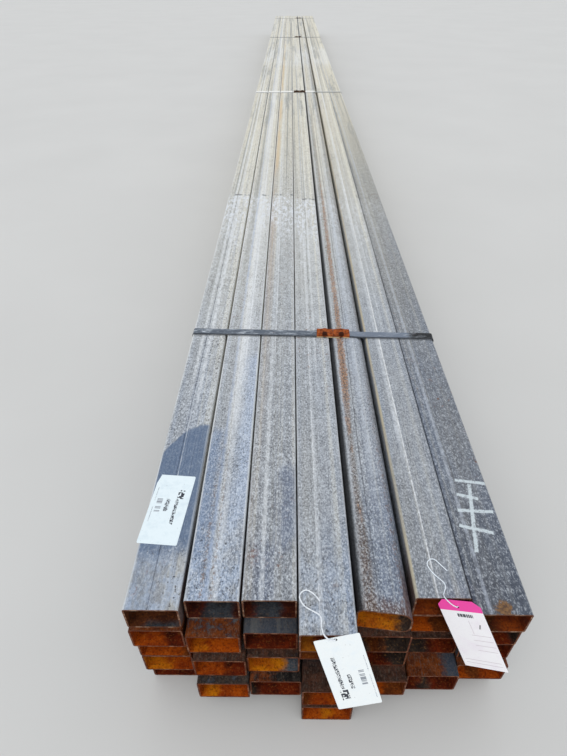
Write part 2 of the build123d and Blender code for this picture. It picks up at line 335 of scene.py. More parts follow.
def tube_finish(
        name, low, high, seed, bore, rusty=0.35, pale=1.0, near_end_shadow=0.0, shade=0.0, grain=1.0,
        deep=0.15, shine=(0.2, 0.2), ledge=(), patches=None, lines=None, radii=(TUBE_CORNER,) * 4,
        askew=0.0, sides=0.0, outer=0.0, painted_side_shade=(0.0, 0.0)):
    """Whole finish of one tube: scale outside, rust inside, and a sawn, rusted end. shine is
    how bright the painted highlight on the top's left and right edges is, sides how much
    painted light pales its walls inside the stack further on, deep how dark painted shade
    makes the bore, and shade how much painted shade darkens the tube. outer is -1 or 1 where
    the left or right wall is on the outside of the stack, and open to the light. patches go
    under the grain of the scale and lines over it, both only on the top. The last argument
    is how dark painted shade makes the rounded left and right sides."""
    f = Finish(name)
    x, y, z = f.measured_from((low[0], low[1], high[2]))
    if askew:
        y = f.calc("ADD", y, f.linear(x, math.tan(askew), -TUBE_WIDTH * math.tan(askew)))
    depth = skin_depth(f, x, z, radii)
    inside = f.calc("LESS_THAN", depth, -TUBE_WALL / 2)
    mill_scale(f, y, seed, pale, near_end_shadow)
    blotch = f.cloud(60, 4, 0.75, seed + 31)
    middle, open_wall = TUBE_WIDTH / 2, 0.0
    if outer:
        aside = f.times(f.minus(x, middle), outer)
        open_wall = f.times(
            f.rise(aside, middle - 0.003, middle - 0.0005), f.rise(z, -0.001, -0.005))
    # Painted shade: the lower tubes are darkened, less so on walls open to the light.
    if shade:
        f.lay((38, 42, 50), f.linear(open_wall, 0.30 - shade, shade))
    strength, on_top = grain, f.rise(z, -0.009, -0.003)
    if patches:
        smooth = f.lay_where(on_top, patches, x, y)
        strength = f.minus(grain, f.times(smooth, on_top))
    for tone, reach, start, end in ledge:
        across = f.linear(blotch, 0.05, f.minus(x, 0.025))
        part = f.band(across, start * TUBE_WIDTH - 0.02, end * TUBE_WIDTH + 0.02, 0.012)
        near = f.times(f.fall(y, 0.03, 0.11), part)
        near = f.times(near, f.fall(f.linear(y, 2.0, blotch), reach - 0.10, reach + 0.10))
        near = f.times(near, f.minus(1.0, f.times(open_wall, 0.8)))
        f.lay(f.coat(*RUST[tone], f.rise(blotch, 0.35, 0.6)), near)
    # Darker, shaded copies of the flecks' tones on the tubes with painted shade.
    tones = ((112, 102, 92), (22, 22, 24)) if shade else ((230, 236, 242), (54, 56, 62))
    height = grained(f, seed, rusty, strength, *tones)
    if lines:
        # Painted light: the walls inside the stack grow paler further on, so the gaps between the
        # tubes look less dark.
        side = f.times(f.rise(z, -0.002, -0.005), f.minus(1.0, open_wall))
        paler = f.times(f.rise(y, 0.08, 0.35), f.rise(y, 0.2, 1.6, sides * 0.6, sides))
        f.lay((252, 250, 244), f.times(side, paler))
        f.lay((98, 62, 44), f.times(side, f.fall(y, 0.03, 0.14, 0.7)))
        f.lay_where(on_top, lines, x, y, low)
    # Painted highlight on the top's rounded edges, broken up, as if they caught the sky; further on
    # it grows and pales the dark gaps between the tubes.
    off = f.apart(x, middle)
    worn = f.rise(f.cloud((60, 5), 3, 0.6, seed + 17), 0.35, 0.65, 0.4, 1.0)
    bright = f.linear(f.calc("GREATER_THAN", x, middle), shine[1] - shine[0], shine[0])
    bright = f.calc("MAXIMUM", bright, f.rise(y, 1.5, 5.0, 0.0, 0.8))
    edge = f.times(f.rise(off, middle - 0.0052, middle - 0.0022), f.rise(z, -0.010, -0.005))
    f.lay((226, 229, 230), f.times(edge, bright, worn))
    # Painted shade on the rounded left and right sides.
    if any(painted_side_shade):
        nearer = f.calc("ADD", x, f.rise(y, 0.5, 2.5, 0.0, 0.004))
        f.lay((26, 27, 30), f.fall(nearer, 0.007, 0.017, painted_side_shade[0]))
        f.lay((60, 62, 68), f.rise(x, 0.080, 0.094, 0.0, painted_side_shade[1]))
    outside = f.colour
    grit = rusted_bore(f, x, y, seed, *bore)
    # Painted shade deep in the bore.
    f.lay((20, 11, 7), deep)
    f.colour = f.coat(outside, f.colour, inside)
    far_end = f.calc("GREATER_THAN", y, TUBE_LENGTH - 0.0004)
    sawn = f.times(f.calc("MAXIMUM", f.calc("LESS_THAN", y, 0.0004), far_end),
                   f.calc("GREATER_THAN", depth, -TUBE_WALL - 0.0001))
    # Darker, shaded copies of the sawn ends' tones on the tubes with painted shade.
    sawn_tones = ((92, 50, 34), (142, 100, 76)) if shade else ((100, 62, 44), (160, 132, 110))
    f.lay(f.coat(*sawn_tones, f.rise(blotch, 0.46, 0.66)), sawn)
    f.set(Metallic=f.linear(inside, -0.35, 0.35), Specular_IOR_Level=0.15 if shade else 0.25)
    scale_gloss = f.rise(height, 0.1, 0.7, 0.42, 0.62)
    return f.finish(f.linear(f.minus(0.88, scale_gloss), inside, scale_gloss),
                    f.linear(f.minus(grit, height), inside, height), 0.0006)


# What each bore shows: its rust, a second tone, where across the tube that one lies, and how
# far in it reaches where that is not the whole length.
bores = {
    (1, 1): ("brown", "slate", 0.30, 0.90, 0.012), (1, 2): ("red", "slate", 0.30, 0.86),
    (1, 3): ("red", "slate", 0.22, 0.72), (1, 4): ("orange", "gold", 0.00, 0.30),
    (1, 6): ("orange", "brown", 0.55, 0.90), (1, 7): ("brown", "orange", 0.55, 1.10),
    (2, 1): ("orange", "red", 0.60, 1.10), (2, 2): ("orange", "gold", 0.12, 0.34),
    (2, 3): ("red", "red", 0.00, 1.00), (2, 4): ("red", "brown", -0.10, 0.30),
    (2, 5): ("dark", "brown", 0.25, 0.55), (2, 6): ("brown", "orange", -0.10, 0.45),
    (2, 7): ("dark", "red", 0.40, 0.90), (3, 1): ("brown", "orange", -0.10, 0.80),
    (3, 2): ("orange", "red", 0.62, 1.10), (3, 3): ("gold", "slate", 0.66, 1.10),
    (3, 4): ("orange", "red", 0.60, 1.10), (3, 5): ("red", "dark", 0.70, 1.10),
    (3, 6): ("dark", "red", 0.50, 1.10), (3, 7): ("red", "dark", -0.10, 0.30),
    (4, 1): ("gold", "orange", 0.50, 1.10), (4, 2): ("orange", "gold", 0.10, 0.36),
    (4, 3): ("red", "dark", -0.10, 0.15), (4, 4): ("orange", "brown", -0.10, 0.20),
    (4, 5): ("orange", "brown", 0.60, 1.10), (4, 6): ("red", "dark", 0.30, 0.50),
    (4, 7): ("orange", "brown", 0.30, 0.60), (5, 1): ("red", "red", 0.00, 1.00),
    (5, 2): ("brown", "red", 0.40, 1.10), (5, 3): ("brown", "dark", -0.10, 0.50),
    (5, 4): ("orange", "gold", 0.40, 0.56), (5, 5): ("brown", "red", -0.10, 0.40),
    (5, 6): ("red", "brown", 0.50, 1.10), (5, 7): ("brown", "orange", 0.20, 0.60),
}

# Lower tubes that stand out in front: each patch of rust on their tops there, how far it
# reaches, and from where to where across. The near-black patch on the fourth layer's third
# tube is painted shadow.
ledges = {
    (2, 1): (("brown", 0.70, 0.0, 1.0),), (2, 2): (("brown", 0.64, 0.0, 1.0),),
    (2, 4): (("dark", 0.70, 0.0, 1.0),), (2, 5): (("umber", 0.70, 0.0, 1.0),),
    (3, 1): (("orange", 0.75, 0.0, 1.0),), (3, 2): (("umber", 0.70, 0.0, 1.0),),
    (3, 3): (("umber", 0.70, 0.0, 1.0),), (3, 5): (("brown", 0.70, 0.0, 1.0),),
    (3, 6): (("umber", 0.80, 0.0, 1.0),), (4, 1): (("orange", 0.75, 0.0, 1.0),),
    (4, 2): (("dark", 0.62, 0.0, 1.0),),
    # Painted shadow over most of this ledge, with brown rust at its left.
    (4, 3): (("black", 0.95, 0.0, 1.0), ("brown", 0.60, 0.0, 0.24)),
    (4, 4): (("umber", 0.80, 0.0, 1.0),), (4, 5): (("umber", 0.80, 0.0, 1.0),),
    (4, 6): (("brown", 0.85, 0.0, 0.52),), (4, 7): (("brown", 0.75, 0.0, 1.0),),
    (5, 4): (("umber", 0.70, 0.0, 1.0),),
}

# The top layer's tubes: how much each pales over its first metre and a half, how much painted
# shadow darkens its near end, how bright the painted highlight on its left and right edges
# is, and how strong its grain is.
top_looks = {
    1: (1.15, 0.0, (0.9, 0.35), 1.0), 2: (1.50, 0.0, (0.95, 0.9), 1.0),
    3: (1.05, 0.10, (0.4, 0.5), 0.95), 4: (1.30, 0.06, (0.4, 0.4), 0.90),
    6: (0.86, 0.09, (0.0, 0.1), 0.72), 7: (0.49, 0.44, (0.0, 0.1), 0.56),
}


def smooth_patch(
        f, x, y, low, high, left, right, arch, seed, tone, strength, crisp=0.004, soft=0.010):
    """A smooth, oily patch, and its mask: it ends at the far side in an arch that rises across
    the tube by arch metres, with an edge as crisp as given, and fades out elsewhere."""
    part = f.calc("DIVIDE", x, TUBE_WIDTH, clamp=True)
    swell = f.times(part, f.linear(part, -1.2, 2.2))
    rag = f.cloud((26, 9), 4, 0.65, seed)
    top = f.linear(swell, arch, high)
    top = f.calc("ADD", top, f.linear(rag, crisp * 6, crisp * -3))
    over = f.fall(f.minus(y, top), -crisp * 2, crisp)
    fade = f.rise(f.linear(rag, 0.16, y), low + 0.05, low + 0.12)
    across = f.linear(rag, soft * 4, f.minus(x, soft * 2))
    sides = f.band(across, left, right, soft)
    mask = f.times(over, fade, sides)
    streaks = f.rise(f.cloud((240, 1.5), 2, 0.6, seed + 2), 0.45, 0.75, 0.0, 0.35)
    oily = f.coat(tone, (138, 150, 172), streaks)
    mask = f.times(mask, strength)
    f.lay(oily, mask)
    return mask


def front_bloom(f, x, y, seed, strength, pitted_from=-1.0):
    """Bluish white bloom on the last hand's breadth before the sawn end, with dark pits to the
    right of pitted_from."""
    mottle = f.cloud((44, 22), 5, 0.7, seed)
    near = f.times(f.fall(y, 0.03, 0.26, strength), f.rise(mottle, 0.40, 0.58))
    f.lay((176, 194, 220), near)
    pit = f.times(
        f.fall(y, 0.04, 0.30, 0.8), f.rise(f.cloud((170, 150), 2, 0.6, seed + 1), 0.60, 0.68))
    pit = f.times(pit, f.rise(x, pitted_from - 0.02, pitted_from + 0.02))
    f.lay((48, 42, 42), pit)


def old_strap_mark(f, y, start, seed, strength):
    """Where an earlier strap lay: a ragged bluish white bloom before a thin, broken dark
    line. start is the line's distance from this tube's end."""
    rag = f.cloud((30, 3), 5, 0.7, seed)
    rest = f.linear(rag, 1.8, f.minus(y, 0.9))
    bloom = f.times(f.rise(rest, start - 0.70, start - 0.10),
                    f.fall(f.linear(rag, 0.20, y), start + 0.05, start + 0.12))
    bloom = f.times(bloom, f.rise(f.cloud((80, 24), 4, 0.85, seed + 1), 0.44, 0.60))
    f.lay((236, 240, 246), f.times(bloom, strength))
    line = f.times(f.band(f.linear(rag, 0.05, y), start + 0.017, start + 0.033, 0.006),
                   f.rise(f.cloud((26, 6), 2, 0.6, seed + 2), 0.49, 0.55))
    f.lay((112, 114, 114), f.times(line, strength))


# These lay a top tube's patches and say where the scale is smooth.
def patches_1(f, x, y):
    """Bloom by the end, and the smooth dark patch under the lying tag."""
    front_bloom(f, x, y, 41, 0.5, 0.055)
    smooth = smooth_patch(f, x, y, 0.10, 0.376, -0.03, 0.14, 0.106, 42, (100, 118, 144), 0.95)
    smooth = f.calc("MAXIMUM", smooth, f.fall(y, 0.10, 0.16, 0.75))
    return f.times(smooth, 0.85)


def patches_2(f, x, y):
    """Bluish left side near the end, a pale right side and bloom by the end."""
    smooth = smooth_patch(
        f, x, y, 0.06, 0.44, -0.03, 0.030, 0.03, 51, (122, 142, 172), 0.75, 0.012, 0.018)
    smooth_patch(f, x, y, 0.16, 0.72, 0.072, 0.14, 0.05, 52, (186, 202, 226), 0.6, 0.03, 0.016)
    front_bloom(f, x, y, 53, 0.6)
    return f.times(smooth, 0.4)


def patches_3(f, x, y):
    """Dull blue patch on the right and a bluer stretch left of the middle, near the end."""
    smooth = smooth_patch(
        f, x, y, 0.10, 0.33, 0.066, 0.14, 0.0, 62, (100, 114, 140), 0.6, 0.02, 0.016)
    smooth_patch(f, x, y, -0.10, 0.13, 0.022, 0.060, 0.0, 65, (106, 118, 144), 0.5, 0.02, 0.014)
    return f.times(smooth, 0.4)


def patches_4(f, x, y):
    """A little bloom by the end."""
    front_bloom(f, x, y, 72, 0.4)
    return 0.0


# Roll lines on the top tubes: where across each runs, its half width, strength and tone, and
# where along the tube it starts.
PALE_LINE, WHITE_LINE, BLUE_LINE = (236, 239, 241), (246, 248, 250), (158, 174, 202)
DARK_LINE = (66, 70, 82)
roll_lines = {
    1: ((0.058, 0.008, 0.75, PALE_LINE, 0.42), (0.034, 0.007, 0.75, PALE_LINE, 0.50),
        (0.0495, 0.0016, 0.60, PALE_LINE, 0.08), (0.0450, 0.0016, 0.9, DARK_LINE, -1.0)),
    2: ((0.054, 0.012, 0.52, PALE_LINE, -1.0), (0.0395, 0.0060, 0.7, BLUE_LINE, -1.0),
        (0.0455, 0.0016, 0.4, DARK_LINE, -1.0), (0.066, 0.0035, 0.7, WHITE_LINE, 0.6),
        (0.056, 0.030, 0.45, WHITE_LINE, 0.35)),
    3: ((0.036, 0.007, 0.50, PALE_LINE, -1.0), (0.044, 0.0025, 0.6, WHITE_LINE, 0.6)),
    4: ((0.0405, 0.0060, 0.45, PALE_LINE, -1.0), (0.0365, 0.0013, 0.55, WHITE_LINE, -1.0),
        (0.056, 0.004, 0.6, PALE_LINE, 0.6)),
    6: ((0.036, 0.009, 0.60, PALE_LINE, 0.25), (0.0405, 0.0022, 0.75, WHITE_LINE, -1.0),
        (0.060, 0.004, 0.4, PALE_LINE, 0.8), (0.1008, 0.0022, 0.7, DARK_LINE, -1.0)),
    7: ((0.026, 0.0055, 0.60, (186, 194, 208), -1.0), (0.0335, 0.0014, 0.5, DARK_LINE, -1.0),
        (0.0006, 0.0024, 0.7, DARK_LINE, -1.0)),
}

# How far from each top tube's end the old strap lay, and how strong its mark is.
old_straps = {1: (2.106, 0.85), 2: (2.088, 0.75), 3: (2.086, 0.85), 4: (2.09, 0.8),
              6: (2.06, 0.3), 7: (2.07, 0.2)}


def speckled_rust(f, x, y):
    """Two lanes of brown specks on the second tube near its end."""
    lanes = f.calc("MAXIMUM", f.band(x, 0.026, 0.033, 0.003), f.band(x, 0.046, 0.052, 0.003))
    specks = f.rise(f.cloud((190, 130), 3, 0.8, 57), 0.50, 0.58)
    fading = f.rise(y, 0.10, 0.50, 0.75, 0.1)
    f.lay((128, 106, 94), f.times(lanes, specks, fading))


def tan_lane(f, x, y):
    """Tan rust on the left side of the third tube, strongest some metres on, and a red spot."""
    tan = f.times(f.band(x, 0.003, 0.024, 0.010),
                  f.rise(f.cloud((34, 1.2), 5, 0.7, 61), 0.42, 0.56, 0.15, 1.0))
    tan = f.times(tan, f.rise(y, 0.45, 2.6, 0.15, 0.8))
    tan = f.times(tan, f.rise(y, 6.5, 8.5, 1.0, 0.3))
    f.lay(f.coat((178, 152, 128), (226, 202, 164), f.rise(y, 1.4, 3.0)), tan)
    spot = f.times(f.band(x, 0.008, 0.024, 0.008), f.band(y, 0.080, 0.105, 0.02),
                   f.rise(f.cloud((130, 110), 3, 0.7, 63), 0.44, 0.56))
    f.lay((116, 72, 60), f.times(spot, 0.8))


def tan_edge(f, x, y):
    """Narrow tan, rusted left edge of the sixth tube."""
    tan = f.times(
        f.fall(x, 0.0035, 0.007), f.rise(f.cloud((60, 4), 3, 0.6, 82), 0.34, 0.56, 0.55, 1.0))
    f.lay((190, 180, 156), tan)


def chalk_stroke(f, start, end, seed):
    """One stroke of chalk 8 mm wide from start to end: the distance to the line between them,
    broken up by the grain of the scale."""
    run = Vector((end[0] - start[0], end[1] - start[1], 0.0))
    along = f.along((*start, 0.0), tuple(run.normalized()))
    aside = f.along((*start, 0.0), (-run.normalized().y, run.normalized().x, 0.0))
    past = f.calc("MAXIMUM", f.minus(along, run.length), f.minus(0.0, along))
    away = f.calc("MAXIMUM", f.calc("ABSOLUTE", aside), f.calc("ADD", past, 0.003))
    rub = f.cloud((150, 130), 4, 0.8, seed)
    line = f.fall(f.linear(rub, 0.006, away), 0.0056, 0.0080, 0.95)
    f.lay((212, 222, 226), f.times(line, f.rise(rub, 0.66, 0.50, 0.35, 1.0)))


def chalk_tally(f, x, y):
    """A tally of chalk strokes and one brown rust spot at the end of the seventh tube."""
    strokes = (((0.036, 0.308), (0.099, 0.298)), ((0.030, 0.268), (0.072, 0.256)),
               ((0.022, 0.226), (0.094, 0.222)), ((0.016, 0.188), (0.080, 0.170)),
               ((0.034, 0.126), (0.064, 0.296)))
    for number, (start, end) in enumerate(strokes):
        chalk_stroke(f, start, end, 91 + number)
    squares = (f.calc("POWER", f.minus(*pair), 2.0) for pair in ((x, 0.0516), (y, 0.010)))
    ring = f.calc("SQRT", f.calc("ADD", *squares))
    rag = f.cloud(110, 4, 0.8, 97)
    spot = f.fall(f.linear(rag, 0.030, ring), 0.026, 0.033, 0.92)
    f.lay(f.coat((140, 104, 66), (94, 70, 54), f.rise(rag, 0.42, 0.60)), spot)


top_patches = {1: patches_1, 2: patches_2, 3: patches_3, 4: patches_4}
top_details = {2: speckled_rust, 3: tan_lane, 6: tan_edge, 7: chalk_tally}


def top_lines(number):
    """One function that lays a top tube's roll lines, details, old strap's mark, painted strap
    shadows and dust.
    """
    def lay(f, x, y, low):
        for count, (across, width, strength, tone, start) in enumerate(roll_lines[number]):
            roll_line(f, x, y, across, width, strength, 30 + number * 10 + count, tone, start)
        if number in top_details:
            top_details[number](f, x, y)
        start, strength = old_straps[number]
        old_strap_mark(f, y, start, 35 + number * 10, strength)
        strap_shadows_and_dust(f, x, y, low)
    return lay


for (layer, number), bore in bores.items():
    node = f"tube_layer{layer}_no{number}"
    if layer == 1:
        pale, near_end_shadow, shine, grain = top_looks[number]
        kind = {"rusty": 0.3, "deep": 0.5, "patches": top_patches.get(number),
                "lines": top_lines(number)}
    else:
        pale, near_end_shadow, shine, grain = 0.5, 0.0, (0.0, 0.0), 0.6
        kind = {"rusty": 0.8, "shade": 0.76, "ledge": ledges.get((layer, number), ())}
    finish = tube_finish(
        f"scale_and_rust_{layer}_{number}", *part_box(node), seed=layer * 11 + number * 5, bore=bore,
        pale=pale, near_end_shadow=near_end_shadow, shine=shine, grain=grain, sides=0.96 if number < 5 else 0.0,
        outer={1: -1, 7: 1}.get(number, 0), **kind)
    finish.dress(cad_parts[node])


# Odd tube. The fifth tube of the top layer has rounded sides and a front end sawn askew, with
# a long streak of rust beside a crease, and a smooth bluish right half.
def odd_patches(f, x, y):
    """The right half faintly bluish, and the whole darker by the end with painted shadow."""
    blue = f.times(f.rise(x, 0.044, 0.056), f.rise(y, 0.2, 3.0, 0.3, 0.05))
    f.lay((150, 162, 184), blue)
    # Painted shadow over the near end.
    f.lay((66, 70, 80), f.fall(y, 0.06, 0.40, 0.30))
    stain = f.fall(f.linear(f.cloud((60, 20), 4, 0.7, 107), 0.07, y), 0.040, 0.075, 0.75)
    f.lay((96, 66, 50), stain)
    return f.times(blue, 0.6)


def odd_lines(f, x, y, low):
    """Soft light bands, and a rust streak down the left of the crease: loose blots before half
    a metre from the end, strong to about 1.6 m, and fading until 2.8 m."""
    sway = f.linear(f.cloud((0.01, 0.9), 2, 0.5, 100), 0.012, -0.006)
    drift = f.rise(y, 0.3, 1.2, 0.0, 0.008)
    middle = f.calc("ADD", f.calc("ADD", sway, drift), 0.025)
    off = f.apart(x, middle)
    roll_line(f, x, y, 0.066, 0.009, 0.5, 101, (212, 218, 226), 0.2)
    roll_line(f, x, y, 0.014, 0.008, 0.5, 102, (222, 226, 230))
    speckle = f.cloud((170, 120), 4, 0.8, 103)
    right = f.times(f.band(x, 0.082, 0.100, 0.006), f.fall(y, 0.3, 0.9, 0.7))
    f.lay((124, 92, 78), f.times(right, f.rise(speckle, 0.50, 0.60)))
    specks = f.cloud((270, 190), 3, 0.8, 106)
    narrower = f.calc("ADD", off, f.rise(y, 0.10, 0.32, 0.0, 0.006))
    near = f.times(f.fall(narrower, 0.005, 0.017), f.rise(y, 0.7, 1.3, 1.0, 0.15))
    f.lay((130, 116, 106), f.times(near, f.rise(speckle, 0.42, 0.60, 0.15, 0.6)))
    f.lay((74, 60, 54), f.times(near, f.rise(specks, 0.50, 0.58, 0.0, 0.85)))
    f.lay((226, 226, 222), f.times(near, f.rise(specks, 0.44, 0.36, 0.0, 0.45)))
    strong = f.times(f.rise(y, 0.40, 0.72, 0.12, 1.0), f.rise(y, 1.6, 2.8, 1.0, 0.2))
    ragged = f.linear(f.cloud((110, 26), 5, 0.9, 104), 0.026, off)
    reach = f.calc("ADD", f.linear(strong, 0.0080, 0.0118), f.fall(y, 0.55, 1.15, 0.0045))
    streak = f.fall(f.minus(ragged, reach), -0.0015, 0.0015, 0.90)
    streak = f.times(streak, f.rise(specks, 0.55, 0.46, 0.12, 1.0))
    blots = f.rise(f.cloud((40, 15), 3, 0.7, 108), 0.50, 0.58, 0.05, 0.85)
    streak = f.times(streak, f.calc("MAXIMUM", blots, f.rise(y, 0.45, 0.65)))
    streak = f.times(streak, f.rise(y, 0.14, 0.24, 0.25, 1.0))
    rusty = f.coat((186, 138, 98), (104, 70, 50), f.rise(speckle, 0.47, 0.57))
    rusty = f.coat(rusty, (214, 192, 166), f.rise(y, 1.8, 3.6))
    f.lay(rusty, f.times(streak, f.rise(strong, 0.1, 0.7, 0.75, 1.0)))
    # Painted shade: a thin dark line along the crease, which the mesh does not fold.
    crease = f.apart(f.minus(x, middle), 0.017)
    f.lay((70, 72, 80), f.fall(crease, 0.0006, 0.0020, 0.5))
    old_strap_mark(f, y, 2.08, 105, 0.3)
    strap_shadows_and_dust(f, x, y, low)


odd = "rounded_tube_layer1_no5"
finish = tube_finish(
    "odd_tube_scale_and_rust", *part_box(odd), seed=71, bore=("gold", "dark", 0.76, 1.1), rusty=0.35,
    pale=0.85, deep=0.1, patches=odd_patches, lines=odd_lines, radii=(0.014, 0.026, 0.020, 0.009),
    askew=math.radians(6.4), painted_side_shade=(0.94, 0.22))
finish.dress(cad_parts[odd])


# Straps. Four blued steel bands, 1 1/4 in wide, each drawn round the stack and doubled under
# its seals; their upper faces are scratched, and dulled by dust further along the bundle.
def strap_finish(strap, tones, fair_from, fair_to, scratched, dust, slope=0.0, near_edge_shade=0.8):
    """Finish of one strap: three tones of blued steel from left to right, the middle one from
    fair_from to fair_to, scratches along it, painted shade on its near edge, and dust. scratched
    says how far across from the left it is badly scratched."""
    f, node, seed = Finish(f"blued_strap_{strap}"), f"strap_{strap}", 191 + strap * 10
    low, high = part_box(node)
    across_all = high[0] - low[0]
    x, y, _ = f.measured_from(low)
    mottle = f.cloud((30, 90, 90), 4, 0.6, seed)
    across = f.linear(mottle, 0.05, f.minus(x, 0.025))
    f.colour = f.coat(tones[0], (84, 92, 104), f.rise(mottle, 0.50, 0.72))
    f.lay(tones[1], f.band(across, fair_from, fair_to, 0.012))
    f.lay(tones[2], f.rise(across, fair_to - 0.01, fair_to + 0.02))
    from_middle = f.apart(x, across_all / 2)
    upright = f.calc("GREATER_THAN", from_middle, across_all / 2 - 0.003)
    lying, standing = (
        f.cloud(waves, 3, 0.7, seed + 2) for waves in ((34, 420, 420), (420, 420, 34)))
    scratch = f.linear(upright, f.minus(standing, lying), lying)
    scratch = f.rise(scratch, 0.49, 0.57, 0.0, f.linear(upright, -0.75, 1.0))
    patchy = f.rise(f.cloud((26, 60, 60), 3, 0.6, seed + 3), 0.44, 0.58)
    patchy = f.times(patchy, f.rise(x, scratched, scratched + 0.12, 1.0, 0.35))
    f.lay((206, 214, 222), f.times(scratch, patchy))
    near = f.minus(y, f.linear(x, -slope, across_all * slope))
    # Painted shade along the strap's near edge.
    f.lay((40, 43, 48), f.fall(near, 0.003, 0.008, near_edge_shade))
    spots = f.times(f.rise(f.cloud(150, 3, 0.65, seed + 4), 0.60, 0.72),
                    f.rise(f.cloud(12, 2, 0.5, seed + 5), 0.48, 0.62))
    f.lay((118, 70, 44), f.times(spots, 0.7))
    if dust:
        f.lay((186, 184, 172), f.rise(mottle, 0.2, 0.7, dust, dust * 0.6))
    f.set(Metallic=0.5)
    f.finish(f.rise(mottle, 0.3, 0.7, 0.30, 0.50), f.calc("ADD", mottle, scratch), 0.0003)
    f.dress(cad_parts[node])


strap_finish(
    1, ((98, 107, 119), (122, 132, 148), (28, 30, 34)), 0.43, 0.665, 0.36, 0.0, STRAP_SLOPE)
strap_finish(
    2, ((255, 254, 248), (252, 251, 245), (176, 176, 170)), 0.10, 0.50, 0.0, 0.0, near_edge_shade=0.0)
for strap in (3, 4):
    strap_finish(strap, ((90, 92, 94), (112, 114, 116), (90, 92, 94)), 0.20, 0.50, 0.0, 0.3)


# Seals. Eight pressed steel clips, two on each strap: an arched channel over the doubled band,
# crimped in the middle of each lip so that its back rises there in a hump. The first strap's
# are orange with rust, with bare lower edges, and the far ones dark.
SEAL_LENGTH, SEAL_WIDTH, SEAL_HEIGHT, SEAL_SHOULDER = 0.0495, 0.03555, 0.0105, 0.004
SEAL_GAUGE, CRIMP_WIDTH, CRIMP_RISE, CRIMP_SPREAD = 0.0014, 0.012, 0.004, 0.0085
CRIMP_HUMP, END_SINK, SHOULDER_PINCH, FOOT_FLARE = 0.0030, 0.0012, 0.09, 0.13


def seal_skin(rows=97, columns=49):
    """Outer skin of a seal in its own frame, metres: s along the strap, t across it, up. The
    section is a channel with rounded shoulders, its points spaced evenly by arc length. At
    the crimp the lips' edges rise by a flat-topped bump, and by a bell curve the shoulders
    are pinched in and the back rises 3 mm; at the ends it sinks. The lips flare out a little
    at the foot. The second value is how much dirt and painted shade lie at each point of the
    crimps, most on the near shoulder."""
    half, tall, round_ = SEAL_WIDTH / 2, SEAL_HEIGHT, SEAL_SHOULDER
    turn = np.linspace(0.0, math.pi / 2, 12)
    left = np.column_stack(
        [-half + round_ - round_ * np.cos(turn), tall - round_ + round_ * np.sin(turn)])
    outline = np.vstack([[-half, 0.0], left, (left * (-1, 1))[::-1], [half, 0.0]])
    run = np.concatenate([[0.0], np.cumsum(np.linalg.norm(np.diff(outline, axis=0), axis=1))])
    even = np.linspace(0.0, run[-1], columns)
    t, up = (np.interp(even, run, outline[:, k]) for k in (0, 1))
    s = np.linspace(-SEAL_LENGTH / 2, SEAL_LENGTH / 2, rows)
    s, t, up = np.broadcast_arrays(s[:, None], t[None, :], up[None, :])
    notch = 1.0 / (1.0 + (s / (CRIMP_WIDTH / 2)) ** 8)
    bell = np.exp(-(s / CRIMP_SPREAD) ** 2)
    edge = np.abs(t) / half
    low = np.clip(1.0 - up / CRIMP_RISE, 0.0, 1.0)
    lift = up + notch * low * (CRIMP_RISE - up)
    sink = (up / tall) ** 2 * ((1.0 - bell) * END_SINK + bell * (0.0003 * edge ** 2 - CRIMP_HUMP))
    ripple = 0.00018 * np.sin(700 * s + 3 * edge) * np.sin(420 * t + 1.0)
    pinch = 1.0 - SHOULDER_PINCH * bell * np.clip(up / 0.004, 0.0, 1.0)
    flare = 1.0 + FOOT_FLARE * np.clip(1.0 - up / 0.003, 0.0, 1.0) ** 2 * (1.0 - notch)
    skin = np.stack([s, t * pinch * flare, lift - sink + ripple * (up / tall)], axis=-1)
    shoulder = np.clip((edge - np.where(t < 0, 0.2, 0.8)) / 0.3, 0.0, 1.0)
    raised = np.clip((lift - 0.0030) / 0.0025, 0.0, 1.0)
    return skin, np.exp(-(s / 0.0080) ** 2) * shoulder * raised


def grid_faces(rows, columns):
    """Quads between neighbouring points of a grid laid out row by row."""
    first = (np.arange(rows - 1)[:, None] * columns + np.arange(columns - 1)[None, :]).ravel()
    return np.column_stack([first, first + columns, first + columns + 1, first + 1])


def placed(name, data):
    """A new object in the scene, with this mesh, lamp or camera."""
    thing = bpy.data.objects.new(name, data)
    bpy.context.scene.collection.objects.link(thing)
    return thing


def rust_finish(strap, bright, deep, dark, lip=(84, 70, 60)):
    """Finish of a seal: two tones of heavy rust with dark scale left in patches, dirt and painted
    shade in the crimps, which the mesh gives as a number at each point, and bare steel at the
    lips' edges."""
    f, seed = Finish(f"seal_rust_{strap}"), 291 + strap * 10
    z = f.measured_from((0.0, 0.0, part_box("strap_1_seal_a")[0][2]))[2]
    lumps = f.cloud(110, 4, 0.65, seed)
    grains = f.cloud(900, 2, 0.6, seed + 1)
    f.colour = f.coat(bright, deep, f.rise(lumps, 0.42, 0.62))
    f.lay(dark, f.rise(f.cloud((60, 60, 110), 3, 0.6, seed + 2), 0.52, 0.66, 0.0, 0.7))
    f.lay((226, 176, 120), f.rise(grains, 0.62, 0.74, 0.0, 0.4))
    # Dirt and painted shade in the crimps.
    crimp = f.nodes.new("ShaderNodeAttribute")
    crimp.attribute_name = "crimp"
    f.lay((44, 22, 14), f.rise(crimp.outputs["Fac"], 0.20, 0.62, 0.0, 0.92))
    f.lay(lip, f.fall(f.linear(lumps, 0.002, z), 0.0028, 0.0040, 0.9))
    f.set(Specular_IOR_Level=0.2)
    return f.finish(0.9, f.calc("ADD", lumps, grains), 0.0005)


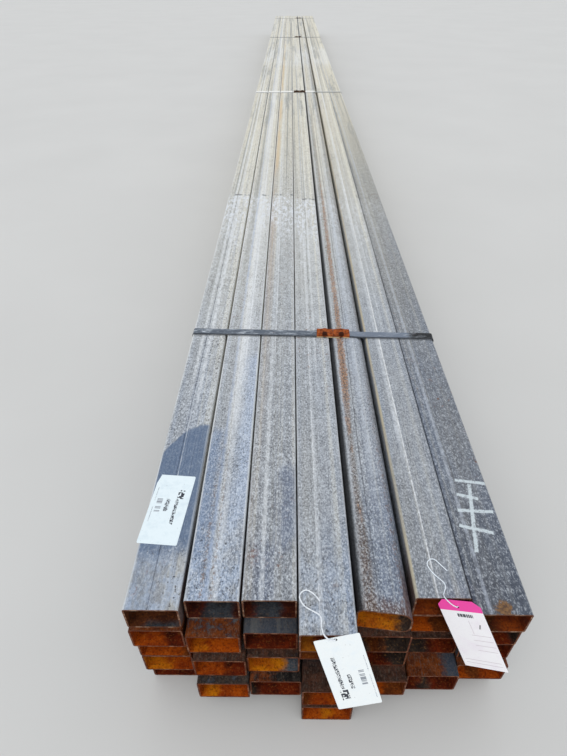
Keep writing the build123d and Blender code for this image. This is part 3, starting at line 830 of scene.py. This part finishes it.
seal_tones = (((164, 84, 40), (116, 56, 28), (74, 40, 28), (176, 156, 120)),
              ((92, 72, 58), (66, 54, 48), (44, 40, 40)),
              ((96, 74, 58), (68, 56, 48), (46, 42, 40)),
              ((90, 70, 56), (64, 52, 46), (44, 40, 40)))
skin, crimped = seal_skin()
for strap, tones in enumerate(seal_tones, 1):
    rust, turn = rust_finish(strap, *tones), STRAP_SKEW if strap == 1 else 0.0
    for letter in "ab":
        node = f"strap_{strap}_seal_{letter}"
        low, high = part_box(node)
        points = np.empty_like(skin)
        points[..., 0] = skin[..., 0] * math.cos(turn) + skin[..., 1] * math.sin(turn)
        points[..., 1] = -skin[..., 0] * math.sin(turn) + skin[..., 1] * math.cos(turn)
        points[..., 2] = skin[..., 2]
        points += ((low[0] + high[0]) / 2, (low[1] + high[1]) / 2, low[2])
        mesh = bpy.data.meshes.new(f"{node}_skin")
        mesh.from_pydata(points.reshape(-1, 3).tolist(), [], grid_faces(*skin.shape[:2]).tolist())
        mesh.polygons.foreach_set("use_smooth", [True] * len(mesh.polygons))
        mesh.attributes.new("crimp", "FLOAT", "POINT").data.foreach_set("value", crimped.ravel())
        seal = placed(f"crimped_seal_{strap}{letter}", mesh)
        wall = seal.modifiers.new("gauge", "SOLIDIFY")
        wall.thickness, wall.offset = SEAL_GAUGE, -1.0
        rust.dress(seal)
        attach(seal, "root")
        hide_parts(node)


# White tags. Two stiff plastic tags: one lies on the first tube, the other hangs by a punched
# hole from its hook in front of the fourth. Their print is unreadable cells.
def printed(f, across, down, left, right, top, bottom):
    """Mask of one printed bar, its sides given from the tag's left and top edges."""
    return f.times(f.band(across, left, right, 0.0004), f.band(down, top, bottom, 0.0004))


def small_print(f, across, down, cell):
    """Mask of small cells, about half of them filled at random, like print too small to read."""
    cells = f.nodes.new("ShaderNodeCombineXYZ")
    f.put(f.calc("FLOOR", f.calc("DIVIDE", across, cell)), cells.inputs[0])
    f.put(f.calc("FLOOR", f.calc("DIVIDE", down, cell * 0.8)), cells.inputs[1])
    noise = f.nodes.new("ShaderNodeTexWhiteNoise")
    noise.noise_dimensions = "2D"
    f.put(cells.outputs[0], noise.inputs["Vector"])
    return f.calc("LESS_THAN", noise.outputs["Value"], 0.55)


def bar_block(f, length, cell, fill):
    """Mask of thin bars across a length, each cell filled or left out at random."""
    noise = f.nodes.new("ShaderNodeTexWhiteNoise")
    noise.noise_dimensions = "1D"
    f.put(f.calc("FLOOR", f.calc("DIVIDE", length, cell)), noise.inputs["W"])
    return f.calc("LESS_THAN", noise.outputs["Value"], fill)


def tag_coordinates(f, corner, turn):
    """Across, down and out of a tag's face, from its top left corner."""
    axes = ((1, 0, 0), (0, -1, 0), (0, 0, 1))
    return [f.along(corner, tuple(turn @ Vector(axis))) for axis in axes]


def plastic_finish(name, corner, turn, face, rows, block, tones, seed):
    """Finish of a white tag: bluish white plastic, faintly scuffed, printed on its face. Each
    row is its sides from the tag's left and top edges, the size of its cells and its tone."""
    f = Finish(name)
    across, down, out = tag_coordinates(f, corner, turn)
    scuff = f.cloud(60, 4, 0.6, seed)
    f.colour = f.coat(*tones, f.rise(scuff, 0.45, 0.75))
    speck = f.rise(f.cloud(240, 2, 0.5, seed + 1), 0.70, 0.76, 0.0, 0.4)
    f.lay((150, 150, 150), speck)
    front = f.calc("GREATER_THAN", out, face)
    for left, right, top, bottom, cell, tone in rows:
        bar = printed(f, across, down, left, right, top, bottom)
        f.lay(tone, f.times(bar, small_print(f, across, down, cell), front))
    bars = f.times(printed(f, across, down, *block), bar_block(f, down, 0.0011, 0.55))
    f.lay((150, 156, 164), f.times(bars, front))
    return f.finish(f.rise(scuff, 0.3, 0.7, 0.45, 0.6), scuff, 0.0002)


def tag_turn(x, y, z, upright):
    """Rotation of a tag: turned about its own X, then Y, then Z, and stood up if it hangs."""
    turn = Matrix.Rotation(math.radians(x), 3, "X") @ Matrix.Rotation(math.radians(y), 3, "Y")
    turn = turn @ Matrix.Rotation(math.radians(z), 3, "Z")
    return turn @ Matrix.Rotation(math.radians(90), 3, "X") if upright else turn


TAG_WIDTH, TAG_LENGTH = 0.082, 0.178
BLACK, GREY = (52, 56, 66), (160, 168, 176)
# Where each tag's top left corner lies is measured from its own tube's box.
first_low, first_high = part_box("tube_layer1_no1")
lying_turn = tag_turn(0, 0, -4.4, False)
lying_corner = (
    Vector((first_low[0] + 0.043, first_low[1] + 0.224, first_high[2])) + lying_turn
    @ Vector((-TAG_WIDTH / 2, TAG_LENGTH / 2, 0)))
lying_rows = (
    (0.0540, 0.0680, 0.040, 0.066, 0.0032, BLACK), (0.0530, 0.0600, 0.067, 0.130, 0.0016, BLACK),
    (0.0320, 0.0410, 0.066, 0.098, 0.0016, BLACK), (0.0070, 0.0086, 0.036, 0.072, 0.0008, GREY),
    (0.0070, 0.0090, 0.088, 0.126, 0.0008, GREY),
)
lying = plastic_finish(
    "lying_tag_plastic", lying_corner, lying_turn, 0.0004, lying_rows,
    (0.0130, 0.0250, 0.066, 0.101), ((234, 246, 250), (222, 236, 242)), 401)
lying.dress(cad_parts["lying_tag"])

fourth_low, fourth_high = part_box("tube_layer1_no4")
hanging_turn = tag_turn(-16.2, -16.6, -1.4, True)
hanging_corner = Vector((fourth_low[0] + 0.0242, fourth_low[1] - 0.0046, fourth_high[2] - 0.013))
hanging_rows = (
    (0.0140, 0.0290, 0.130, 0.156, 0.0032, BLACK), (0.0180, 0.0250, 0.046, 0.128, 0.0016, BLACK),
    (0.0360, 0.0430, 0.093, 0.130, 0.0016, BLACK), (0.0755, 0.0770, 0.052, 0.092, 0.0008, GREY),
    (0.0755, 0.0770, 0.102, 0.162, 0.0008, GREY),
)
hanging = plastic_finish(
    "hanging_tag_plastic", hanging_corner, hanging_turn, -0.0004, hanging_rows,
    (0.0580, 0.0680, 0.082, 0.125), ((250, 255, 255), (244, 252, 255)), 421)
hanging.dress(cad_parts["hanging_tag"])


# Card tag. A stock shipping tag of white card with clipped top corners and a pink head, ruled
# with faint lines and marked with a bar block and a tick.
def card_finish(name, corner, turn):
    """Finish of the card tag."""
    f = Finish(name)
    across, down, out = tag_coordinates(f, corner, turn)
    fibre = f.cloud(400, 3, 0.6, 441)
    shade = f.cloud(26, 3, 0.5, 442)
    f.colour = f.coat((255, 253, 255), (250, 244, 250), f.rise(shade, 0.4, 0.7))
    f.lay((220, 214, 220), f.rise(fibre, 0.55, 0.8, 0.0, 0.3))
    pink = f.fall(f.linear(fibre, 0.0006, down), 0.0238, 0.0246)
    f.lay(f.coat((255, 84, 178), (246, 64, 160), shade), pink)
    front = f.calc("GREATER_THAN", out, -0.0003)
    bars = f.times(
        printed(f, across, down, 0.029, 0.058, 0.0300, 0.0375), bar_block(f, across, 0.0009, 0.6))
    f.lay((80, 80, 86), f.times(bars, front))
    rules = 0.0
    for left, right, reaches in ((0.040, 0.076, (0.078, 0.090, 0.102, 0.114)),
                                 (0.006, 0.074, (0.140, 0.148))):
        for reach in reaches:
            rule = printed(f, across, down, left, right, reach, reach + 0.0008)
            rules = f.calc("MAXIMUM", rule, rules)
    rules = f.calc("MAXIMUM", rules, printed(f, across, down, 0.0455, 0.0462, 0.045, 0.076))
    f.lay((176, 156, 164), f.times(rules, front, 0.75))
    tick = f.minus(f.calc("ADD", across, f.times(down, 0.35)), 0.0828)
    tick = f.times(
        f.fall(f.calc("ABSOLUTE", tick), 0.0007, 0.0013), f.band(down, 0.052, 0.062, 0.0006))
    f.lay((50, 46, 52), f.times(tick, front))
    return f.finish(0.7, fibre, 0.0002)


sixth_low, sixth_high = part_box("tube_layer1_no6")
card_turn = tag_turn(-24.2, -24.8, -35.4, True)
card_corner = Vector((sixth_low[0] + 0.0355, sixth_low[1] - 0.0004, sixth_high[2] - 0.0005))
card_finish("tag_card", card_corner, card_turn).dress(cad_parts["card_tag"])


# Hooks. Two bent wires, coated white and a little scuffed, that lie on the tubes and go
# through the holes of the hanging tags.
def wire_finish(name, tone, worn, seed):
    """Finish of a coated wire: its coating, and the duller places where it is rubbed."""
    f = Finish(name)
    rub = f.cloud(170, 3, 0.6, seed)
    f.colour = f.coat(tone, worn, f.rise(rub, 0.5, 0.7))
    return f.finish(f.rise(rub, 0.3, 0.7, 0.3, 0.5), rub, 0.0001)


for name, node, tone, worn, seed in (
        ("white_wire", "hanging_tag_hook", (238, 242, 246), (198, 206, 214), 501),
        ("grey_white_wire", "card_tag_hook", (236, 244, 250), (212, 222, 232), 511)):
    wire_finish(name, tone, worn, seed).dress(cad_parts[node])


# Floor, light and camera. A plain pale floor under an even, cloudy sky, a sun as broad and
# soft as through cloud, and the camera where the photograph was taken from.
floor_mesh = bpy.data.meshes.new("floor")
floor_mesh.from_pydata(
    [(-60, -60, 0), (60, -60, 0), (60, 60, 0), (-60, 60, 0)], [], [(0, 1, 2, 3)])
floor = placed("floor", floor_mesh)
ground = Finish("pale_floor")
mottling = ground.cloud(1.5, 3, 0.5, 601)
ground.set(Base_Color=ground.coat((214, 213, 210), (206, 205, 202), mottling), Roughness=0.9)
ground.dress(floor)

sky = bpy.data.worlds.new("cloudy_sky")
sky.use_nodes = True
background = sky.node_tree.nodes["Background"].inputs
background["Color"].default_value = (0.93, 0.96, 1.0, 1.0)
background["Strength"].default_value = 0.8
bpy.context.scene.world = sky
lamp = placed("soft_lamp", bpy.data.lights.new("soft_lamp", "SUN"))
lamp.data.energy, lamp.data.angle = 0.9, math.radians(50)
lamp.rotation_euler = (math.radians(34), math.radians(-12), 0)

camera = placed("camera", bpy.data.cameras.new("camera"))
camera.data.lens, camera.data.sensor_width, camera.data.sensor_fit = 25.08, 36.0, "AUTO"
camera.data.clip_end = 200.0
aim = (Matrix.Rotation(math.radians(0.851), 4, "Z") @ Matrix.Rotation(math.radians(51.38), 4, "X")
       @ Matrix.Rotation(math.radians(-0.348), 4, "Z"))
camera.matrix_world = Matrix.Translation((-0.0676, -6.5364, 1.2298)) @ aim
bpy.context.scene.camera = camera
bpy.context.scene.view_settings.view_transform = "Standard"
